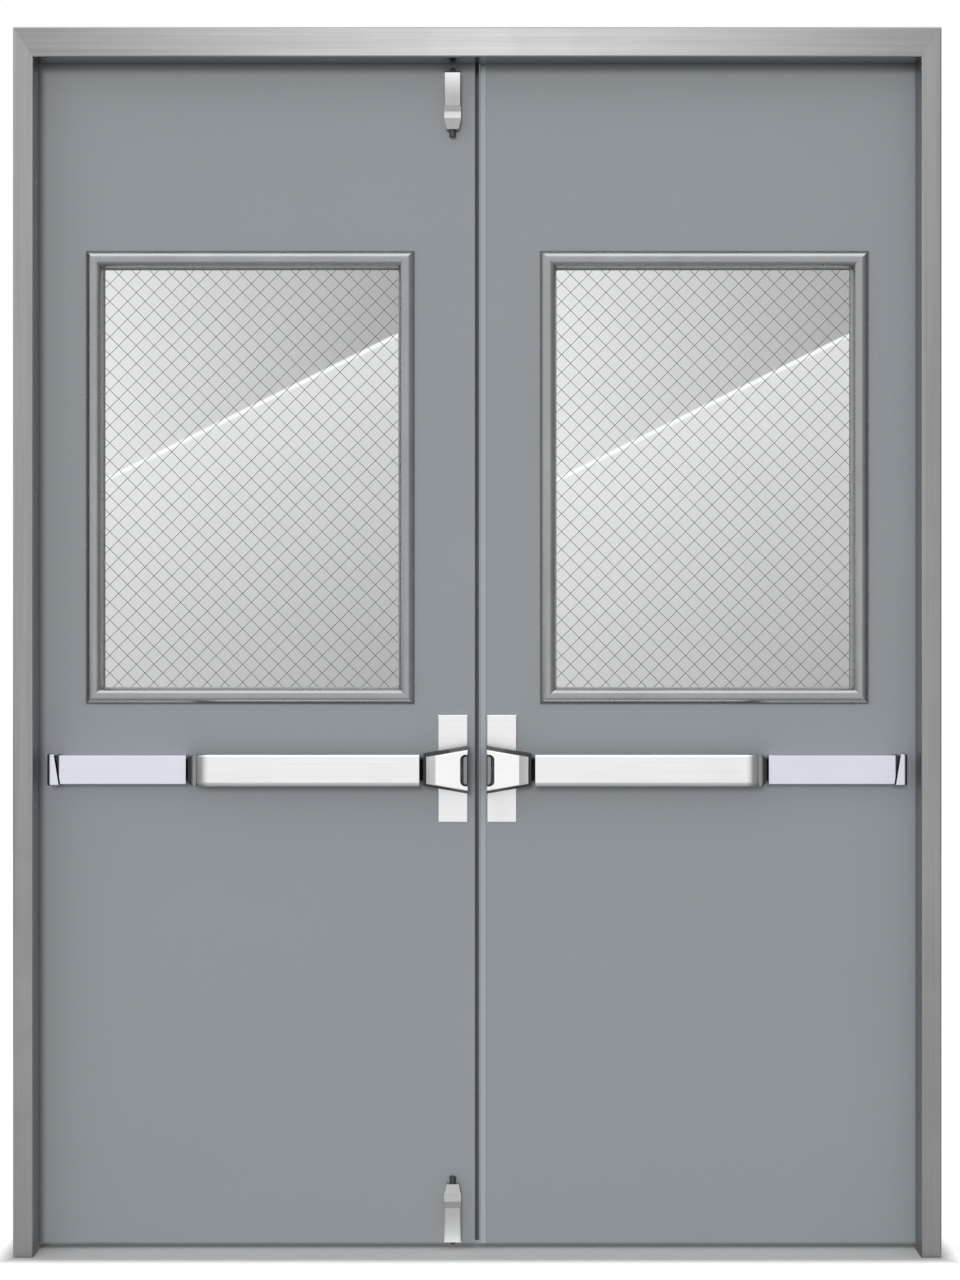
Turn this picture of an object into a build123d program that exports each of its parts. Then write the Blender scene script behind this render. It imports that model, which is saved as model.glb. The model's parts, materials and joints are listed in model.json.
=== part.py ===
from build123d import *
import os

os.makedirs("parts", exist_ok=True)

# Fire-rated steel double door, seen from its push side, which faces -Y.
# +X runs to the right along the wall and +Z is up. The origin is on the floor, on the underside
# of the plate that anchors the left jamb's foot, midway through the frame's depth.
# A reach is a distance along X from the seam between the leaves. A depth is measured out from
# the leaf's front face. The left side is modelled and mirrored for the right.

# Frame: pressed sheet, open towards the wall, with one rebate that the leaves close into
frame_width = 1600.0
frame_height = 2120.0
frame_depth = 110.0
jamb_face = 35.0
head_face = 52.0
jamb_rebate = 14.0
frame_sheet = 1.5
frame_bend = 3.0
wall_return = 15.0

# Leaf: two steel pans round a core, with an intumescent strip between the pans' edges
leaf_thickness = 45.0
leaf_skin = 1.0
leaf_bend = 2.0
edge_strip_width = 12.0
edge_gap = 5.0
meeting_gap = 7.0
floor_gap = 10.0
stop_gap = 8.0
core_clearance = 0.5

# Bevelled strip along the right leaf's meeting edge
strip_width = 10.0
strip_thickness = 1.5
strip_bevel = 1.0

# Smoke seal on the frame's stop
seal_width = 7.0
seal_thickness = 3.0
seal_end_gap = 0.5

# Fixings of the frame
floor_plate_thickness = 4.0
floor_hole_radius = 4.5
floor_hole_spacing = 60.0
floor_hole_edge = 9.0
wall_hole_radius = 5.25
wall_hole_count = 4
wall_hole_above_floor = 240.0
wall_hole_below_head = 208.0
wall_hole_from_front = 30.0

# Vision panel: half-round glazing frames that clamp wired glass between gaskets
vision_reach = 397.0
vision_height = 1348.0
vision_frame_width = 575.0
vision_frame_tall = 793.0
moulding_width = 28.0
moulding_crown = 12.0
moulding_sheet = 1.5
moulding_lap = 12.0
glass_thickness = 7.0
glass_edge_gap = 3.0
gasket_thickness = 3.0
gasket_width = 9.0
gasket_sight = 1.5

# Butt hinges on the pull side
hinge_count = 3
hinge_inset = 200.0
hinge_height = 100.0
hinge_plate_depth = 38.0
hinge_plate_thickness = 2.0
knuckle_count = 3
knuckle_radius = 7.0
knuckle_gap = 0.4
knuckle_stand_off = 0.5
hinge_pin_radius = 4.0
hinge_pin_clearance = 0.05
hinge_tip_radius = 6.0
hinge_tip_height = 4.0
hinge_tip_bevel = 1.5
hinge_sides = 12

# Exit bar: rail, push pad, rail cover and end cap
bar_height = 839.0
rail_tall = 39.0
rail_depth = 38.0
rail_wall = 2.5
rail_start = 75.0
rail_end = 735.0
rail_fit = 0.3
pad_start = 100.0
pad_end = 485.0
pad_tall = 55.0
pad_depth = 70.0
pad_back = 28.0
pad_wall = 2.5
pad_top_radius = 4.0
pad_bottom_radius = 9.0
pad_bend_run = 17.0
pad_bend_drop = 8.0
pad_travel = 16.0
pad_clearance = 5.0
pad_cap_length = 14.0
pad_cap_corner = 13.0
pad_cap_bevel = 2.0
guide_reaches = (180.0, 420.0)
guide_width = 8.0
guide_clearance = 0.3
guide_end = 22.0
guide_boss_width = 16.0
guide_boss_depth = 30.0
cover_gap = 6.0
cover_tall = 50.0
cover_depth = 42.0
cover_wall = 2.0
cover_edge_radius = 1.5
end_joint_reach = 727.5
end_joint_slant = 8.0
end_joint_gap = 3.0
end_cap_end = 745.0
end_cap_tall = 54.0
end_cap_depth = 44.0
end_cap_radius = 6.0
end_cap_bevel = 1.5

# Latch case at the meeting stile: plate, dark body, bright cover and latch bolt
plate_start = 16.5
plate_width = 52.5
plate_tall = 187.5
plate_thickness = 5.0
plate_bevel = 1.5
case_start = 16.0
case_end = 88.0
case_wide = 71.0
case_narrow = 46.0
case_depth = 64.0
case_shoulder = 16.0
case_shoulder_drop = 8.0
case_wall = 2.5
case_edge_radius = 2.0
body_margin = 5.5
body_depth = 44.0
body_wall = 3.0
notch_depth = 13.5
notch_tall = 55.0
notch_corner = 9.0
latch_start = 17.0
latch_nose = 6.5
latch_nose_tall = 48.0
latch_nose_corner = 5.0
latch_nose_radius = 1.5
latch_nose_depth = 14.0
latch_length = 28.0
latch_tail_tall = 12.0
latch_tail_depth = 5.0
latch_clearance = 0.3

# Top and bottom latch cases on the left leaf
bolt_reach = 43.0
bolt_case_width = 29.0
bolt_case_tall = 100.0
bolt_case_depth = 24.0
bolt_case_end_depth = 17.0
bolt_case_bevel = 3.0
bolt_case_groove_at = 60.0
bolt_case_groove = 10.0
bolt_case_groove_depth = 5.0
bolt_case_flare = 12.0
bolt_case_taper = 17.0
bolt_case_tail_width = 21.0
bolt_case_edge_radius = 2.5
bolt_case_below_stop = 14.0
bolt_case_above_floor = 16.0
bolt_radius = 5.5
bolt_clearance = 0.3
bolt_axis_depth = 8.5
bolt_tip_out = 7.0
bolt_tail_out = 12.0
bolt_tip_bevel = 2.5

# Places that follow from those sizes
seam_x = (frame_width - jamb_face) / 2
front_y = -frame_depth / 2
back_y = frame_depth / 2
leaf_front_y = back_y - leaf_thickness
leaf_middle_y = back_y - leaf_thickness / 2
stop_y = leaf_front_y - stop_gap
frame_reach = frame_width / 2
soffit_reach = frame_reach - jamb_face
rebate_reach = soffit_reach + jamb_rebate
leaf_seam_reach = meeting_gap / 2
leaf_hinge_reach = rebate_reach - edge_gap
leaf_width = leaf_hinge_reach - leaf_seam_reach
leaf_centre_reach = (leaf_hinge_reach + leaf_seam_reach) / 2
soffit_z = frame_height - head_face
head_rebate = jamb_rebate * head_face / jamb_face
rebate_z = soffit_z + head_rebate
leaf_top_z = rebate_z - edge_gap
leaf_tall = leaf_top_z - floor_gap
leaf_centre_z = (leaf_top_z + floor_gap) / 2
cutout_width = vision_frame_width - 2 * moulding_lap
cutout_tall = vision_frame_tall - 2 * moulding_lap
moulding_leg = (leaf_thickness - glass_thickness) / 2 - gasket_thickness
hinge_axis_reach = rebate_reach - edge_gap / 2
hinge_axis_y = back_y + knuckle_radius + knuckle_stand_off
hinge_run = (leaf_tall - 2 * hinge_inset) / (hinge_count - 1)
hinge_heights = [floor_gap + hinge_inset + hinge_run * i for i in range(hinge_count)]
knuckle_pitch = hinge_height / knuckle_count
wall_hole_run = soffit_z - wall_hole_below_head - wall_hole_above_floor
wall_hole_spacing = wall_hole_run / (wall_hole_count - 1)
pad_bend_radius = (pad_bend_run**2 + pad_bend_drop**2) / (2 * pad_bend_drop)
pad_cap_end = pad_end + pad_cap_length
pad_cap_depth = pad_depth - pad_bend_drop
cover_start = pad_cap_end + cover_gap
bolt_case_top = soffit_z - bolt_case_below_stop

centre_plane = Plane((seam_x, 0, 0), x_dir=(0, 1, 0), z_dir=(1, 0, 0))
leaf_middle_plane = Plane((0, leaf_middle_y, 0), x_dir=(1, 0, 0), z_dir=(0, 1, 0))
bolt_middle_plane = Plane((0, 0, (bolt_case_top + bolt_case_above_floor) / 2))
mitre_plane = Plane(
    (seam_x - frame_reach, 0, frame_height), x_dir=(0, 1, 0), z_dir=(head_face, 0, jamb_face)
)
end_joint_plane = Plane(
    (seam_x - end_joint_reach, 0, bar_height), x_dir=(0, 1, 0), z_dir=(cover_tall, 0, end_joint_slant)
)


def left_x(reach):
    return seam_x - reach


def depth_y(depth):
    return leaf_front_y - depth


def face_plane(depth, reach, height):
    # Sketch X is world X, sketch Y is world Z, and extruding goes out from the leaf
    return Plane((left_x(reach), depth_y(depth), height), x_dir=(1, 0, 0), z_dir=(0, -1, 0))


def block(reaches, depths, height, tall, mode=Mode.ADD):
    # Box between two reaches and two depths, centred at a height
    near, far = reaches
    low, high = depths
    with Locations((left_x((near + far) / 2), depth_y((low + high) / 2), height)):
        Box(far - near, high - low, tall, mode=mode)


def save(part, name):
    part.label = name
    export_step(part, f"parts/{name}.step")


def save_both_sides(part, name):
    save(part, f"left_{name}")
    with BuildPart() as right:
        mirror(part, about=centre_plane)
    save(right.part, f"right_{name}")


def save_together(part, name):
    with BuildPart() as pair:
        add(part)
        mirror(part, about=centre_plane)
    save(pair.part, name)


def frame_section(plane, face, rebate):
    # Sketch X goes into the doorway from the wall side, sketch Y from the front to the back
    with BuildSketch(plane) as section:
        with BuildLine():
            Polyline(
                (0, front_y),
                (face, front_y),
                (face, stop_y),
                (face - rebate, stop_y),
                (face - rebate, back_y),
                (0, back_y),
                close=True,
            )
        make_face()
        fillet(section.vertices(), radius=frame_bend)
        offset(amount=-frame_sheet, kind=Kind.INTERSECTION, mode=Mode.SUBTRACT)
        Rectangle(4 * frame_sheet, frame_depth - 2 * wall_return, mode=Mode.SUBTRACT)
    return section.sketch


with BuildPart() as left_jamb:
    jamb_section = frame_section(Plane((left_x(frame_reach), 0, 0)), jamb_face, jamb_rebate)
    extrude(jamb_section, amount=frame_height)
    split(bisect_by=mitre_plane, keep=Keep.BOTTOM)
    with BuildSketch(
        Plane((left_x(soffit_reach), front_y + wall_hole_from_front, 0), x_dir=(0, 1, 0), z_dir=(1, 0, 0))
    ):
        for i in range(wall_hole_count):
            with Locations((0, wall_hole_above_floor + wall_hole_spacing * i)):
                Circle(wall_hole_radius)
    extrude(amount=-2 * frame_sheet, mode=Mode.SUBTRACT)

with BuildPart() as head:
    head_plane = Plane((seam_x, 0, frame_height), x_dir=(0, 0, -1), z_dir=(1, 0, 0))
    extrude(frame_section(head_plane, head_face, head_rebate), amount=frame_reach, both=True)
    split(bisect_by=mitre_plane, keep=Keep.TOP)
    split(bisect_by=centre_plane, keep=Keep.BOTTOM)
    mirror(about=centre_plane)

with BuildPart() as floor_plate:
    wall_side = left_x(frame_reach) + frame_sheet
    doorway_side = left_x(soffit_reach) - frame_sheet
    rebate_side = left_x(rebate_reach) - frame_sheet
    with BuildSketch() as plate_outline:
        with BuildLine():
            Polyline(
                (wall_side, front_y + frame_sheet),
                (doorway_side, front_y + frame_sheet),
                (doorway_side, stop_y - frame_sheet),
                (rebate_side, stop_y - frame_sheet),
                (rebate_side, back_y - frame_sheet),
                (wall_side, back_y - frame_sheet),
                close=True,
            )
        make_face()
        stop_corner = plate_outline.vertices().sort_by_distance((rebate_side, stop_y - frame_sheet))[0]
        chamfer([v for v in plate_outline.vertices() if v != stop_corner], length=frame_bend)
        with Locations((wall_side + floor_hole_edge, 0)):
            with GridLocations(0, floor_hole_spacing, 1, 2):
                Circle(floor_hole_radius, mode=Mode.SUBTRACT)
    extrude(amount=floor_plate_thickness)

with BuildPart() as perimeter_seal:
    jamb_line = rebate_reach - jamb_rebate / 2
    head_line = soffit_z + head_rebate / 2
    with BuildSketch(Plane((seam_x, stop_y, 0), x_dir=(1, 0, 0), z_dir=(0, -1, 0))):
        with Locations((-jamb_line, 0), (jamb_line, 0)):
            Rectangle(seal_width, head_line, align=(Align.CENTER, Align.MIN))
        with Locations((0, head_line)):
            Rectangle(2 * jamb_line - seal_width - 2 * seal_end_gap, seal_width)
    extrude(amount=-seal_thickness)

save_both_sides(left_jamb.part, "jamb")
save(head.part, "head")
save_together(floor_plate.part, "floor_plates")
save(perimeter_seal.part, "perimeter_seal")


def window():
    with Locations((left_x(vision_reach), leaf_middle_y, vision_height)):
        Box(cutout_width, 2 * leaf_thickness, cutout_tall, mode=Mode.SUBTRACT)


with BuildPart() as front_skin:
    pan_depth = (leaf_thickness - edge_strip_width) / 2
    block((leaf_seam_reach, leaf_hinge_reach), (-pan_depth, 0), leaf_centre_z, leaf_tall)
    fillet(front_skin.faces().sort_by(Axis.Y)[0].edges(), radius=leaf_bend)
    offset(amount=-leaf_skin, openings=front_skin.faces().sort_by(Axis.Y)[-1])
    window()

with BuildPart() as back_skin:
    mirror(front_skin.part, about=leaf_middle_plane)

with BuildPart() as leaf_core:
    block(
        (leaf_seam_reach + leaf_skin, leaf_hinge_reach - leaf_skin),
        (leaf_skin - leaf_thickness, -leaf_skin),
        leaf_centre_z,
        leaf_tall - 2 * leaf_skin,
    )
    core_faces = leaf_core.faces().sort_by(Axis.Y)
    chamfer([*core_faces[0].edges(), *core_faces[-1].edges()], length=leaf_bend - leaf_skin + core_clearance)
    window()

with BuildPart() as edge_strip:
    with BuildSketch(face_plane(-leaf_thickness / 2, leaf_centre_reach, leaf_centre_z)):
        Rectangle(leaf_width, leaf_tall)
        Rectangle(leaf_width - 2 * leaf_skin, leaf_tall - 2 * leaf_skin, mode=Mode.SUBTRACT)
    extrude(amount=edge_strip_width / 2, both=True)

with BuildPart() as meeting_strip:
    strip_reach = leaf_seam_reach + leaf_bend
    strip_tall = soffit_z - floor_gap
    block(
        (strip_reach, strip_reach + strip_width),
        (0, strip_thickness),
        floor_gap + strip_tall / 2,
        strip_tall,
    )
    chamfer(meeting_strip.faces().sort_by(Axis.Y)[0].edges().filter_by(Axis.Z), length=strip_bevel)

with BuildPart() as right_strip:
    mirror(meeting_strip.part, about=centre_plane)

save(right_strip.part, "right_meeting_strip")
save_both_sides(front_skin.part, "leaf_front_skin")
save_both_sides(back_skin.part, "leaf_back_skin")
save_both_sides(leaf_core.part, "leaf_core")
save_both_sides(edge_strip.part, "leaf_edge_strip")

with BuildPart() as front_moulding:
    moulding_x = left_x(vision_reach)
    moulding_foot = vision_height - vision_frame_tall / 2
    moulding_inner = moulding_width - moulding_sheet
    moulding_crest = (moulding_width / 2, moulding_crown)
    moulding_hollow = (moulding_width / 2, moulding_crown - moulding_sheet)
    with BuildLine() as moulding_path:
        Polyline(
            (moulding_x, leaf_front_y, moulding_foot),
            (moulding_x + vision_frame_width / 2, leaf_front_y, moulding_foot),
            (moulding_x + vision_frame_width / 2, leaf_front_y, moulding_foot + vision_frame_tall),
            (moulding_x - vision_frame_width / 2, leaf_front_y, moulding_foot + vision_frame_tall),
            (moulding_x - vision_frame_width / 2, leaf_front_y, moulding_foot),
            close=True,
        )
    with BuildSketch(Plane((moulding_x, leaf_front_y, moulding_foot), x_dir=(0, 0, 1), z_dir=(1, 0, 0))):
        with BuildLine():
            ThreePointArc((0, 0), moulding_crest, (moulding_width, 0))
            Polyline(
                (moulding_width, 0),
                (moulding_width, -moulding_leg),
                (moulding_inner, -moulding_leg),
                (moulding_inner, 0),
            )
            ThreePointArc((moulding_inner, 0), moulding_hollow, (moulding_sheet, 0))
            Line((moulding_sheet, 0), (0, 0))
        make_face()
    sweep(path=moulding_path.wire(), transition=Transition.RIGHT)

with BuildPart() as back_moulding:
    mirror(front_moulding.part, about=leaf_middle_plane)

with BuildPart() as glass:
    with Locations((left_x(vision_reach), leaf_middle_y, vision_height)):
        Box(cutout_width - 2 * glass_edge_gap, glass_thickness, cutout_tall - 2 * glass_edge_gap)

with BuildPart() as gaskets:
    inner_lap = 2 * (moulding_width + gasket_sight)
    outer_lap = inner_lap - 2 * gasket_width
    with BuildSketch(face_plane(-moulding_leg, vision_reach, vision_height)):
        Rectangle(vision_frame_width - outer_lap, vision_frame_tall - outer_lap)
        Rectangle(vision_frame_width - inner_lap, vision_frame_tall - inner_lap, mode=Mode.SUBTRACT)
    extrude(amount=-gasket_thickness)
    mirror(about=leaf_middle_plane)

save_both_sides(front_moulding.part, "vision_frame_front")
save_both_sides(back_moulding.part, "vision_frame_back")
save_both_sides(glass.part, "glass")
save_both_sides(gaskets.part, "glazing_gaskets")


def hinge_prism(radius, foot, tall):
    # Pins and knuckles are many-sided, with their corners on the radius
    with BuildSketch(Plane((left_x(hinge_axis_reach), hinge_axis_y, foot))) as outline:
        RegularPolygon(radius, hinge_sides)
    extrude(outline.sketch, amount=tall)


def hinge_bore(height):
    # A bore's flats, not its corners, keep the clearance, so the pin can turn in it
    foot = height - hinge_height / 2
    with BuildSketch(Plane((left_x(hinge_axis_reach), hinge_axis_y, foot))) as outline:
        RegularPolygon(hinge_pin_radius + hinge_pin_clearance, hinge_sides, major_radius=False)
    extrude(outline.sketch, amount=hinge_height, mode=Mode.SUBTRACT)


def rolled_plates(fixed_reach, free_reach, first_knuckle):
    # Hinge plates between two reaches, rolled round the pin at every second knuckle
    plate_x = left_x((fixed_reach + free_reach) / 2)
    plate_y = back_y - hinge_plate_depth
    roll_tall = knuckle_pitch - knuckle_gap
    on_edge = (Align.CENTER, Align.MIN, Align.CENTER)
    for height in hinge_heights:
        lowest = height - hinge_height / 2 + knuckle_pitch / 2
        rolls = [lowest + knuckle_pitch * i for i in range(first_knuckle, knuckle_count, 2)]
        with Locations((plate_x, plate_y, height)):
            Box(hinge_plate_thickness, hinge_plate_depth, hinge_height, align=on_edge)
        with Locations(*[(plate_x, plate_y, z) for z in rolls]):
            Box(hinge_plate_thickness, hinge_axis_y - plate_y, roll_tall, align=on_edge)
        for z in rolls:
            hinge_prism(knuckle_radius, z - roll_tall / 2, roll_tall)
        hinge_bore(height)


with BuildPart() as frame_hinge_plates:
    rolled_plates(rebate_reach, rebate_reach - hinge_plate_thickness, 0)

with BuildPart() as leaf_hinge_plates:
    rolled_plates(leaf_hinge_reach, leaf_hinge_reach + hinge_plate_thickness, 1)

with BuildPart() as hinge_pins:
    for height in hinge_heights:
        foot = height - hinge_height / 2
        hinge_prism(hinge_pin_radius, foot, hinge_height)
        for tip_foot in (foot - hinge_tip_height, foot + hinge_height):
            hinge_prism(hinge_tip_radius, tip_foot, hinge_tip_height)
    tip_ends = [f for f in hinge_pins.faces().filter_by(Axis.Z) if len(f.wires()) == 1]
    chamfer([e for f in tip_ends for e in f.edges()], length=hinge_tip_bevel)

save_together(frame_hinge_plates.part, "hinge_frame_plates")
save_together(hinge_pins.part, "hinge_pins")
save_both_sides(leaf_hinge_plates.part, "hinge_leaf_plates")

with BuildPart() as bar_rail:
    block((rail_start, rail_end), (0, rail_depth), bar_height, rail_tall)
    block(
        (rail_start, rail_end),
        (rail_wall, rail_depth),
        bar_height,
        rail_tall - 2 * rail_wall,
        mode=Mode.SUBTRACT,
    )
    for reach in guide_reaches:
        with BuildSketch(face_plane(0, reach, bar_height)):
            Rectangle(guide_boss_width, guide_boss_width)
        extrude(amount=guide_boss_depth)
        with BuildSketch(face_plane(rail_wall, reach, bar_height)):
            Rectangle(guide_width + 2 * guide_clearance, guide_width + 2 * guide_clearance)
        extrude(amount=guide_boss_depth, mode=Mode.SUBTRACT)


def pad_block(inset):
    # Pad's outline seen from above curves back at the hinge end. Its long front edges are rounded
    # outside and bevelled inside
    outer_x = left_x(pad_end) + inset
    inner_x = left_x(pad_start) - inset
    bend_x = left_x(pad_end - pad_bend_run)
    pad_front_y = depth_y(pad_depth) + inset
    bend_rise = ((pad_bend_radius - inset) ** 2 - (pad_bend_run - inset) ** 2) ** 0.5
    bend_end_y = depth_y(pad_depth - pad_bend_radius + bend_rise)
    with BuildPart() as solid:
        with BuildSketch(Plane.XY.offset(bar_height)):
            with BuildLine():
                TangentArc((bend_x, pad_front_y), (outer_x, bend_end_y), tangent=(-1, 0))
                Polyline(
                    (outer_x, bend_end_y),
                    (outer_x, depth_y(pad_back)),
                    (inner_x, depth_y(pad_back)),
                    (inner_x, pad_front_y),
                    (bend_x, pad_front_y),
                )
            make_face()
        extrude(amount=pad_tall / 2 - inset, both=True)
        for level, radius in ((0, pad_bottom_radius), (-1, pad_top_radius)):
            rim = solid.faces().sort_by(Axis.Z)[level].edges()
            rim = [e for e in rim if (e @ 0.5).Y < bend_end_y]
            if inset:
                chamfer(rim, length=radius - inset)
            else:
                fillet(rim, radius=radius)
    return solid.part


with BuildPart() as push_pad:
    add(pad_block(0))
    add(pad_block(pad_wall), mode=Mode.SUBTRACT)
    block(
        (pad_start - pad_clearance, pad_end + pad_clearance),
        (0, rail_depth + pad_travel + pad_clearance),
        bar_height,
        rail_tall + 2 * pad_clearance,
        mode=Mode.SUBTRACT,
    )
    for reach in guide_reaches:
        with BuildSketch(face_plane(guide_end, reach, bar_height)):
            Rectangle(guide_width, guide_width)
        extrude(amount=pad_depth - pad_wall / 2 - guide_end)

with BuildPart() as pad_cap:
    block((pad_end, pad_cap_end), (pad_back, pad_cap_depth), bar_height, pad_tall)
    outer_corners = pad_cap.edges().filter_by(Axis.Y).group_by(Axis.X)[0]
    fillet(outer_corners, radius=pad_cap_corner)
    cap_rim = pad_cap.faces().sort_by(Axis.Y)[0].edges()
    chamfer([e for e in cap_rim if (e @ 0.5).X < left_x(pad_end)], length=pad_cap_bevel)
    block(
        (pad_end - pad_clearance, pad_cap_end + pad_clearance),
        (0, rail_depth + pad_travel + pad_clearance),
        bar_height,
        rail_tall + 2 * pad_clearance,
        mode=Mode.SUBTRACT,
    )

with BuildPart() as bar_cover:
    block((cover_start, end_cap_end), (0, cover_depth), bar_height, cover_tall)
    long_edges = bar_cover.faces().sort_by(Axis.Y)[0].edges().filter_by(Axis.X)
    fillet(long_edges, radius=cover_edge_radius)
    block(
        (cover_start + cover_wall, end_cap_end),
        (-cover_wall, cover_depth - cover_wall),
        bar_height,
        cover_tall - 2 * cover_wall,
        mode=Mode.SUBTRACT,
    )
    block(
        (cover_start - cover_wall, end_cap_end),
        (-cover_wall, rail_depth + rail_fit),
        bar_height,
        rail_tall + 2 * rail_fit,
        mode=Mode.SUBTRACT,
    )
    split(bisect_by=end_joint_plane.offset(end_joint_gap / 2), keep=Keep.TOP)

with BuildPart() as end_cap:
    block((cover_start, end_cap_end), (0, end_cap_depth), bar_height, end_cap_tall)
    outer_edge = end_cap.edges().filter_by(Axis.Z).group_by(Axis.Y)[0].sort_by(Axis.X)[0]
    fillet(outer_edge, radius=end_cap_radius)
    round_faces = end_cap.faces().sort_by(Axis.Z)
    rims = [*round_faces[0].edges(), *round_faces[-1].edges()]
    rims = [e for e in rims if (e @ 0.5).Y < depth_y(end_cap_bevel)]
    chamfer([e for e in rims if (e @ 0.5).X < left_x(cover_start)], length=end_cap_bevel)
    block(
        (cover_start - rail_fit, rail_end + rail_fit),
        (-rail_fit, rail_depth + rail_fit),
        bar_height,
        rail_tall + 2 * rail_fit,
        mode=Mode.SUBTRACT,
    )
    split(bisect_by=end_joint_plane.offset(-end_joint_gap / 2), keep=Keep.BOTTOM)

save_both_sides(bar_rail.part, "bar_rail")
save_both_sides(push_pad.part, "push_pad")
save_both_sides(pad_cap.part, "push_pad_end")
save_both_sides(bar_cover.part, "bar_cover")
save_both_sides(end_cap.part, "bar_end_cap")

with BuildPart() as latch_plate:
    block((plate_start, plate_start + plate_width), (0, plate_thickness), bar_height, plate_tall)
    chamfer(latch_plate.faces().sort_by(Axis.Y)[0].edges(), length=plate_bevel)


def case_half(reach):
    run = (reach - case_start) / (case_end - case_start)
    return (case_wide + (case_narrow - case_wide) * run) / 2


def case_prism(seam_end, bar_end, margin, depths, mode=Mode.ADD):
    # Prism tapering from the meeting edge to the bar, between two depths
    low, high = depths
    with BuildSketch(face_plane(low, 0, bar_height)) as outline:
        with BuildLine():
            Polyline(
                (-seam_end, case_half(seam_end) + margin),
                (-bar_end, case_half(bar_end) + margin),
                (-bar_end, -case_half(bar_end) - margin),
                (-seam_end, -case_half(seam_end) - margin),
                close=True,
            )
        make_face()
    extrude(outline.sketch, amount=high - low, mode=mode)


def shoulder(inset):
    # Takes the case down towards the push pad
    with BuildSketch(Plane.XY.offset(bar_height)) as wedge:
        with BuildLine():
            Polyline(
                (left_x(case_end - case_shoulder + inset / 2), depth_y(case_depth - inset)),
                (left_x(case_end + body_margin), depth_y(case_depth - inset)),
                (left_x(case_end + body_margin), depth_y(body_depth)),
                (left_x(case_end), depth_y(case_depth - case_shoulder_drop - inset)),
                close=True,
            )
        make_face()
    extrude(wedge.sketch, amount=case_wide, both=True, mode=Mode.SUBTRACT)


with BuildPart() as latch_body:
    body_end = case_end + body_margin
    case_prism(case_start, body_end, body_margin, (0, body_depth))
    case_prism(
        case_start + body_wall,
        body_end - body_wall,
        body_margin - body_wall,
        (0, body_depth - body_wall),
        mode=Mode.SUBTRACT,
    )
    block(
        (case_start - body_wall, plate_start + plate_width),
        (0, plate_thickness),
        bar_height,
        plate_tall,
        mode=Mode.SUBTRACT,
    )
    block(
        (rail_start, body_end + rail_fit),
        (0, rail_depth + rail_fit),
        bar_height,
        rail_tall + 2 * rail_fit,
        mode=Mode.SUBTRACT,
    )

with BuildPart() as latch_cover:
    case_prism(case_start, case_end, 0, (body_depth, case_depth))
    shoulder(0)
    front_edges = latch_cover.faces().sort_by(Axis.Y)[0].edges()
    fillet(front_edges, radius=case_edge_radius)
    with BuildPart(mode=Mode.PRIVATE) as hollow:
        case_prism(
            case_start + case_wall, case_end - case_wall, -case_wall, (body_depth, case_depth - case_wall)
        )
        shoulder(case_wall)
    add(hollow.part, mode=Mode.SUBTRACT)
    with BuildSketch(face_plane(body_depth, case_start, bar_height)) as notch:
        Rectangle(2 * notch_depth, notch_tall)
        fillet(notch.vertices(), radius=notch_corner)
    extrude(amount=case_depth - body_depth, mode=Mode.SUBTRACT)

with BuildPart() as latch_bolt:
    latch_back = body_depth + latch_clearance
    nose_end = latch_start + latch_nose
    block((latch_start, nose_end), (latch_back, latch_back + latch_nose_depth), bar_height, latch_nose_tall)
    fillet(latch_bolt.edges().filter_by(Axis.Y).group_by(Axis.X)[0], radius=latch_nose_corner)
    nose_edge = latch_bolt.edges().filter_by(Axis.Z).group_by(Axis.Y)[0].sort_by(Axis.X)[-1]
    fillet(nose_edge, radius=latch_nose_radius)
    block(
        (nose_end, latch_start + latch_length),
        (latch_back, latch_back + latch_tail_depth),
        bar_height,
        latch_tail_tall,
    )

save_both_sides(latch_plate.part, "latch_plate")
save_both_sides(latch_body.part, "latch_body")
save_both_sides(latch_cover.part, "latch_cover")
save_both_sides(latch_bolt.part, "latch_bolt")

with BuildPart() as top_latch_case:
    case_foot = bolt_case_top - bolt_case_tall
    groove_top = bolt_case_top - bolt_case_groove_at
    groove_foot = groove_top - bolt_case_groove
    groove_floor = bolt_case_depth - bolt_case_groove_depth
    with BuildSketch(Plane((left_x(bolt_reach), leaf_front_y, 0), x_dir=(0, -1, 0), z_dir=(-1, 0, 0))):
        with BuildLine():
            Polyline(
                (0, bolt_case_top),
                (bolt_case_depth - bolt_case_bevel, bolt_case_top),
                (bolt_case_depth, bolt_case_top - bolt_case_bevel),
                (bolt_case_depth, groove_top),
                (groove_floor, groove_foot),
                (bolt_case_depth, groove_foot - bolt_case_flare),
                (bolt_case_depth, case_foot + bolt_case_taper),
                (bolt_case_end_depth, case_foot),
                (0, case_foot),
                close=True,
            )
        make_face()
    extrude(amount=bolt_case_width / 2, both=True)
    with BuildSketch(face_plane(0, bolt_reach, case_foot)):
        with BuildLine():
            Polyline(
                (-bolt_case_tail_width / 2, 0),
                (bolt_case_tail_width / 2, 0),
                (bolt_case_width / 2, bolt_case_taper),
                (bolt_case_width / 2, bolt_case_tall),
                (-bolt_case_width / 2, bolt_case_tall),
                (-bolt_case_width / 2, bolt_case_taper),
                close=True,
            )
        make_face()
    extrude(amount=bolt_case_depth, mode=Mode.INTERSECT)
    body_front = top_latch_case.faces().filter_by(Axis.Y).group_by(Axis.Y)[0]
    fillet(body_front.sort_by(Axis.Z)[-1].edges().filter_by(Axis.Z), radius=bolt_case_edge_radius)
    with BuildSketch(Plane((left_x(bolt_reach), depth_y(bolt_axis_depth), case_foot))):
        Circle(bolt_radius + bolt_clearance)
    extrude(amount=bolt_case_tall, mode=Mode.SUBTRACT)

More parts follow.
